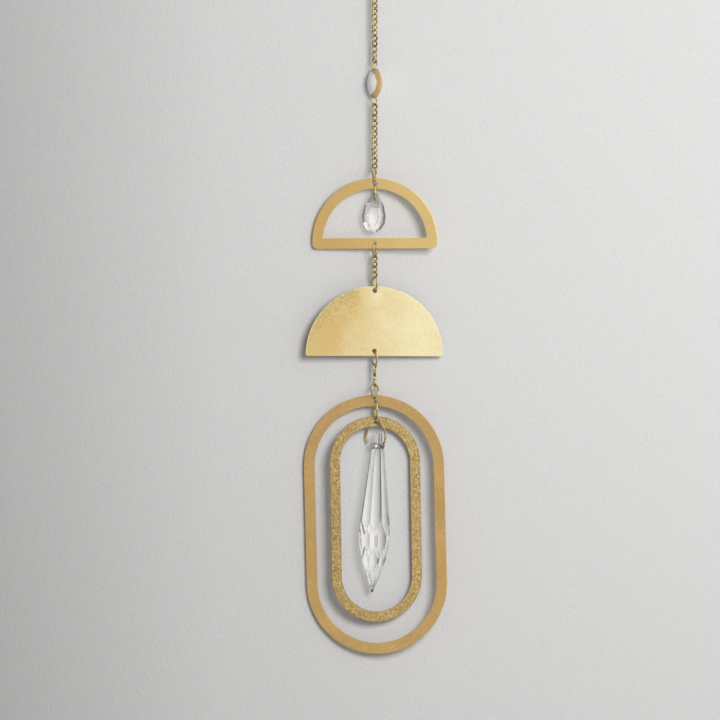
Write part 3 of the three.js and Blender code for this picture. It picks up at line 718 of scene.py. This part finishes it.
# %% Draw and stamp
def arc(x, y, radius, start, stop, steps=48):
    angles = np.linspace(start, stop, steps)
    return [(x + radius * math.cos(a), y + radius * math.sin(a)) for a in angles]


def hole(x, y, diameter):
    return arc(x, y, diameter / 2, 0, 2 * math.pi, 33)[:-1]


def finished_mesh(made):
    """The mesh that an object comes to with its curve settings or modifiers worked out."""
    bpy.context.view_layer.update()
    return bpy.data.meshes.new_from_object(made.evaluated_get(bpy.context.evaluated_depsgraph_get()))


def stamp(name, outlines, thickness, rounding):
    drawing = bpy.data.curves.new(name, "CURVE")
    drawing.dimensions = "2D"
    drawing.fill_mode = "BOTH"
    drawing.extrude = (thickness / 2 - rounding) * MM
    drawing.bevel_depth = rounding * MM
    drawing.bevel_resolution = 2
    drawing.offset = -rounding * MM
    for outline in outlines:
        line = drawing.splines.new("POLY")
        line.points.add(len(outline) - 1)
        for point, (x, y) in zip(line.points, outline):
            point.co = (x * MM, y * MM, 0, 1)
        line.use_cyclic_u = True
    drawn = bpy.data.objects.new(name + "_drawing", drawing)
    bpy.context.collection.objects.link(drawn)
    mesh = finished_mesh(drawn)
    bpy.data.objects.remove(drawn)
    mesh.transform(Matrix.Rotation(math.radians(90), 4, "X"))
    mesh.name = name
    mesh.shade_smooth()
    made = bpy.data.objects.new(name, mesh)
    bpy.context.collection.objects.link(made)
    made.modifiers.new("even_shading", "WEIGHTED_NORMAL").keep_sharp = True
    return made


def half_round_outline(radius, foot, corner):
    out = math.sqrt((radius - corner) ** 2 - (foot - corner) ** 2)
    meet = math.atan2(corner - foot, out)
    return (arc(0, 0, radius, meet, math.pi - meet, 120)
            + arc(-out, corner - foot, corner, math.pi - meet, 1.5 * math.pi, 12)[1:]
            + arc(out, corner - foot, corner, 1.5 * math.pi, 2 * math.pi + meet, 12)[:-1])


# %% [markdown]
# The open half-round is a band of even width: an arc, and a straight bar below it. The window in it
# is the same shape, smaller, with sharp corners. The plate is the same kind of outline, left solid.

# %% Half-rounds
SHEET = 1.0
FRAME_HOLE = 2.9
SINGLE_HOLE = 2.0
FRAME_RADIUS = 30.4
FRAME_BAND = 5.1
FRAME_FOOT = 3.4
FRAME_CORNER = 2.4
FRAME_TOP_WEB = 0.9
FRAME_LOWER_WEB = 1.8
PLATE_RADIUS = 33.0
PLATE_FOOT = 0.65
PLATE_CORNER = 0.9
PLATE_TOP_WEB = 1.25
PLATE_LOWER_WEB = 1.45

window_radius = FRAME_RADIUS - FRAME_BAND
sill = math.asin((FRAME_BAND - FRAME_FOOT) / window_radius)
open_half_round = stamp("open_half_round_sheet", [
    half_round_outline(FRAME_RADIUS, FRAME_FOOT, FRAME_CORNER),
    arc(0, 0, window_radius, sill, math.pi - sill, 100),
    hole(0, FRAME_RADIUS - FRAME_TOP_WEB - FRAME_HOLE / 2, FRAME_HOLE),
    hole(0, -FRAME_FOOT + FRAME_LOWER_WEB + SINGLE_HOLE / 2, SINGLE_HOLE),
], SHEET, rounding=0.16)
seat(open_half_round, "open_half_round", turn=-9, lean=0.2, material=satin_brass)

half_round_plate = stamp("half_round_plate_sheet", [
    half_round_outline(PLATE_RADIUS, PLATE_FOOT, PLATE_CORNER),
    hole(0, PLATE_RADIUS - PLATE_TOP_WEB - SINGLE_HOLE / 2, SINGLE_HOLE),
    hole(0, -PLATE_FOOT + PLATE_LOWER_WEB + SINGLE_HOLE / 2, SINGLE_HOLE),
], SHEET, rounding=0.22)
seat(half_round_plate, "half_round_plate", turn=4, lean=-0.3, material=pale_brass)

# %% [markdown]
# The two ovals are stadium shapes: half circles joined by straight sides. Each has its hole a little
# off the middle, and gravity then lets it hang with a lean, which the photograph shows clearly.

# %% Ovals
OVAL_SHEET = 0.8


def stadium(radius, straight):
    return (arc(0, straight / 2, radius, 0, math.pi, 80)
            + arc(0, -straight / 2, radius, math.pi, 2 * math.pi, 80))


def oval_ring(node, radius, straight, band, hole_size, web, aside, turn, material):
    hole_height = straight / 2 + radius - web - hole_size / 2
    oval = stamp(node + "_sheet", [
        stadium(radius, straight),
        stadium(radius - band, straight),
        hole(aside, hole_height, hole_size),
    ], OVAL_SHEET, rounding=0.14)
    lean = math.degrees(math.atan(aside / hole_height))
    seat(oval, node, turn=turn, lean=lean, material=material)


oval_ring("outer_oval", radius=34.0, straight=56.1, band=5.2, hole_size=2.65, web=0.93, aside=1.5,
          turn=-8, material=matte_brass)
oval_ring("inner_oval", radius=22.1, straight=54.6, band=5.0, hole_size=2.75, web=1.0, aside=0.8,
          turn=11, material=hammered_brass)

# %% [markdown]
# ## Bead
# The bead is a lens of white glaze with a brushed-on gilt border. Two layers of one finish could be
# two materials on two sets of faces, but the border wanders, so a mask does it: how far a point is
# from a line beside the lens's axis, with some noise added. Front to back counts for less, so the
# white is an oval that runs off the far side, which the brush left bare. The gilt is paint with metal
# flakes in it, so it is only partly metallic.

# %% Bead finish
def gilt_glaze(border, wander, aside, front_to_back, softness):
    material, tree, shader = new_material("gilt_glaze")
    place = add(tree, "TexCoord").outputs["Object"]
    moved = add(tree, "VectorMath", {0: place, 1: (0, aside, 0)}, operation="SUBTRACT").outputs[0]
    flat = add(tree, "VectorMath", {0: moved, 1: (0, front_to_back, 1)}, operation="MULTIPLY")
    out = add(tree, "VectorMath", {0: flat.outputs[0]}, operation="LENGTH").outputs["Value"]
    brushed = noise(tree, place, 260.0, 2.0)
    reach = plus(tree, out, spread(tree, brushed, -wander, wander, 0.3, 0.7))
    gilt = spread(tree, reach, 0.0, 1.0, border - softness, border + softness)
    grain = use_group(tree, sheet_grain, {"Place": place, "Grain Scale": 2200.0,
                                          "Cloud Scale": 200.0})
    white = blend(tree, grain["Cloud"], colour(226, 226, 228), colour(240, 240, 240))
    gold = blend(tree, grain["Cloud"], (0.53, 0.36, 0.155, 1), (0.60, 0.415, 0.19, 1))
    tree.links.new(blend(tree, gilt, white, gold), shader.inputs["Base Color"])
    tree.links.new(spread(tree, gilt, 0.0, 0.1), shader.inputs["Metallic"])
    tree.links.new(spread(tree, gilt, 0.22, 0.75), shader.inputs["Roughness"])
    height = plus(tree, gilt, grain["Height"])
    bump = add(tree, "Bump", {"Height": height, "Distance": 0.02 * MM, "Strength": 1.0})
    tree.links.new(bump.outputs[0], shader.inputs["Normal"])
    return material


glaze = gilt_glaze(border=5.6 * MM, wander=0.25 * MM, aside=2.5 * MM, front_to_back=0.73,
                   softness=0.1 * MM)
print("bead finish:", glaze.name)

# %% [markdown]
# The lens itself is a profile turned round its axis: one face, the narrow rim and the other face. Its
# two stringing holes are drilled with a Boolean modifier, as a lathe shape can't have them.

# %% Bead
LENS_STEPS = 72
RIM_CORNER = 0.5


def lens(name, diameter, thickness, rim, hole_size, web):
    steps = LENS_STEPS
    radius = diameter / 2
    rise = (thickness - rim) / 2
    sphere = (radius ** 2 + rise ** 2) / (2 * rise)
    profile = []
    for share in np.linspace(0, 1, 14):
        r = radius * math.sin(share * math.pi / 2)
        profile.append((math.sqrt(sphere ** 2 - r ** 2) - (sphere - rise) + rim / 2, r))
    around_rim = np.linspace(RIM_CORNER, math.pi - RIM_CORNER, 3)
    edge = [(rim / 2 * math.cos(a), radius) for a in around_rim]
    profile = profile + edge + [(-x, r) for x, r in reversed(profile)]
    points = [(x * MM, r * MM * math.cos(a), r * MM * math.sin(a))
              for x, r in profile[1:-1] for a in np.linspace(0, 2 * math.pi, steps, endpoint=False)]
    rows = len(profile) - 2
    faces = []
    for i in range(rows - 1):
        for j in range(steps):
            k = (j + 1) % steps
            faces.append((i * steps + j, (i + 1) * steps + j, (i + 1) * steps + k, i * steps + k))
    tips = len(points)
    points += [(profile[0][0] * MM, 0, 0), (profile[-1][0] * MM, 0, 0)]
    for j in range(steps):
        k = (j + 1) % steps
        faces.append((tips, j, k))
        faces.append((tips + 1, (rows - 1) * steps + k, (rows - 1) * steps + j))
    bead = new_piece(name, points, faces)
    hole_height = (diameter - hole_size) / 2 - web
    for side in (-1, 1):
        height = side * hole_height * MM
        path = np.linspace((-thickness * MM, 0, height), (thickness * MM, 0, height), 6)
        drill = new_piece("drill", *wire(path, hole_size * MM, 24, closed=False))
        cut = bead.modifiers.new("hole", "BOOLEAN")
        cut.object = drill
        cut.operation = "DIFFERENCE"
        cut.solver = "EXACT"
        mesh = finished_mesh(bead)
        bead.modifiers.clear()
        bead.data = mesh
        bpy.data.objects.remove(drill)
    bead.data.shade_smooth()
    bead.data.set_sharp_from_angle(angle=math.radians(35))
    return bead


bead_lens = lens("gilt_bead", diameter=14.4, thickness=5.6, rim=0.7, hole_size=1.5, web=0.45)
seat(bead_lens, "bead", turn=25, material=glaze)

# %% [markdown]
# ## Crystals
# Cut crystal is flat faces and sharp edges, which the model already has, so its own shapes stay.
# They come in as triangles, so those that lie in one plane are first dissolved into one facet. Each
# larger facet then gets a narrow rim inside its outline, still in its plane, which carries a painted
# dark line for the one that a real ridge shows. Four numbers are kept with the mesh. Gleam is a
# painted sweep of light: it grows from the right of a facet to 1 at its left. Ridge is how dark a rim
# is painted: most at a facet's right, and not at all at its left. Shade is painted shade: how dark a
# facet is made, in place of the dim side of the room that it would show through the glass. Airy is
# more than 0 near the prism's point, where light is caught.

# %% Whole facets with rims
AIRY = 0.45


def to_the_left(face):
    """The way to a facet's left, as it is seen from the side that it faces."""
    return Vector((-1, 0, 0)) if abs(face.normal.y) > 0.5 else Vector((0, -1, 0))


def cut_piece(node, rim_width, smallest, shading, airy_below):
    shape = bmesh.new()
    shape.from_mesh(nodes[node].data)
    bmesh.ops.remove_doubles(shape, verts=shape.verts[:], dist=0.01 * MM)
    bmesh.ops.dissolve_limit(shape, angle_limit=math.radians(1.5), verts=shape.verts[:],
                             edges=shape.edges[:])
    painted_gleam, painted_ridge_line, shade, airy = (shape.loops.layers.float.new(layer)
                                 for layer in ("painted_gleam", "painted_ridge_line", "shade", "airy"))
    facets = shape.faces[:]
    low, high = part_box(node)
    for face in facets:
        reach = [to_the_left(face).dot(loop.vert.co) for loop in face.loops]
        width = max(max(reach) - min(reach), 0.01 * MM)
        up = (face.calc_center_median().z - low[2]) / (high[2] - low[2])
        for loop, value in zip(face.loops, reach):
            across = (value - min(reach)) / width
            rise = (loop.vert.co.z - low[2]) / (high[2] - low[2])
            # dim is painted shade for the corner, and lift keeps the facet's right lighter in the
            # painted gleam.
            dim, lift = shading(face.normal, up, across, rise)
            loop[painted_gleam] = lift + (1 - lift) * across
            loop[shade] = dim
            loop[airy] = AIRY if up < airy_below else 0.0
    wide = [face for face in facets if face.calc_area() > smallest * MM * MM]
    middles = {face: face.calc_center_median() for face in wide}
    for face, middle in middles.items():
        rims = bmesh.ops.inset_individual(shape, faces=[face], thickness=rim_width * MM,
                                          use_even_offset=True)["faces"]
        for rim in rims:
            way = (rim.calc_center_median() - middle).normalized()
            for loop in rim.loops:
                loop[painted_ridge_line] = 0.1 - 0.5 * to_the_left(face).dot(way)
    mesh = bpy.data.meshes.new(node + "_facets")
    shape.to_mesh(mesh)
    shape.free()
    mesh.shade_flat()
    made = bpy.data.objects.new(node + "_facets", mesh)
    bpy.context.collection.objects.link(made)
    made.matrix_world = nodes[node].matrix_world
    print(made.name, "has", len(facets), "facets,", len(wide), "of them with a rim")
    return made


# %% [markdown]
# Clear glass needs little: full transmission, almost no roughness and the crystal's index of
# refraction. A faint cloud in the roughness is the film that any hanging crystal gathers. The glass's
# tint then carries painted light and shade: the painted gleam takes each facet from grey at its
# right to clear at its left, and the painted ridge lines and painted shade make the rims and the
# shaded facets darker. Light goes through a clear drop, so its shadow is mixed with plain
# transparency. A little of that is always there, because light that is caught between the facets
# would otherwise end as black. The point of the prism, where the most light is caught, has more of
# it.

# %% Crystal finish
CLEAR_ALWAYS = 0.06
CLEAR_IN_SHADOW = 0.72


def cut_crystal():
    material, tree, shader = new_material("cut_crystal")
    shader.inputs["Transmission Weight"].default_value = 1.0
    shader.inputs["IOR"].default_value = 1.5
    painted_gleam, painted_ridge_line, shade, airy = (add(tree, "Attribute", attribute_name=layer).outputs["Fac"]
                                 for layer in ("painted_gleam", "painted_ridge_line", "shade", "airy"))
    # Painted light and shade in the tint: the gleam sweeps each facet from grey to clear, and the
    # ridge lines and shade darken it.
    clear = spread(tree, painted_gleam, 0.0, 1.0, 0.0, 0.75)
    tone = blend(tree, clear, (0.42, 0.417, 0.413, 1), (1.0, 1.0, 1.0, 1))
    dark = larger(tree, spread(tree, painted_ridge_line, 0.0, 0.8, 0.0, 0.6), shade)
    tree.links.new(blend(tree, dark, tone, (0.01, 0.01, 0.01, 1)), shader.inputs["Base Color"])
    place = add(tree, "TexCoord").outputs["Object"]
    grain = use_group(tree, sheet_grain, {"Place": place, "Grain Scale": 500.0, "Cloud Scale": 90.0})
    tree.links.new(spread(tree, grain["Cloud"], 0.0, 0.02), shader.inputs["Roughness"])
    shadow_ray = add(tree, "LightPath").outputs["Is Shadow Ray"]
    clear_share = spread(tree, shadow_ray, CLEAR_ALWAYS, CLEAR_IN_SHADOW)
    let_through(tree, shader, larger(tree, clear_share, airy))
    return material


def teardrop_shading(way, up, across, rise):
    """How dark a facet's corner is painted, as painted shade, and how light the facet's right side
    stays in the painted gleam. That depends on where the facet looks, its share of the height, how
    far to the left of the facet the corner is, and the corner's own share of the height."""
    painted_light_right = 0.35
    beside_middle = 0.34 < up < 0.68
    if beside_middle and way.x < -0.75:
        return 1.0, painted_light_right
    if beside_middle and way.x < -0.5 and way.y < 0:
        return across, painted_light_right
    if up > 0.72:
        return (0.4 if way.x < -0.5 else 0.7 if way.x < 0.3 else 0.3), painted_light_right
    # Painted shade: darker towards the top of the drop.
    painted_shade_up = 0.35 * min(max((rise - 0.46) / 0.2, 0), 1)
    return max(painted_shade_up, 0.3 * way.x, 0.3 * way.z), painted_light_right


def prism_shading(way, up, across, _):
    """The same for the prism: first its knob, then its point, back, flutes and diamonds."""
    if up > 0.9:
        return (0.35, 0.0) if up > 0.94 else (0.15, 0.2)
    if up < 0.18:
        return 0.0, 0.8
    if way.y > 0.1:
        return 0.0, 0.0
    if up > 0.4:
        return (0.95, 0.0) if way.x < -0.75 else (0.03, 0.0) if way.x < -0.1 else (0.2, 0.0)
    if way.x < -0.1:
        return 0.0, 1.0
    return (0.66 - 0.5 * across, 0.0) if 0.3 < way.x < 0.6 else (0.16, 0.25)


crystal = cut_crystal()
teardrop_cut = dict(rim_width=0.33, smallest=5.0, shading=teardrop_shading, airy_below=0.0)
prism_cut = dict(rim_width=0.45, smallest=1.2, shading=prism_shading, airy_below=0.15)
for node, cut in (("teardrop_crystal", teardrop_cut), ("icicle_prism", prism_cut)):
    piece = cut_piece(node, **cut)
    piece.data.materials.append(crystal)
    piece.visible_diffuse = False
    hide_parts(node)
    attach(piece, "root")
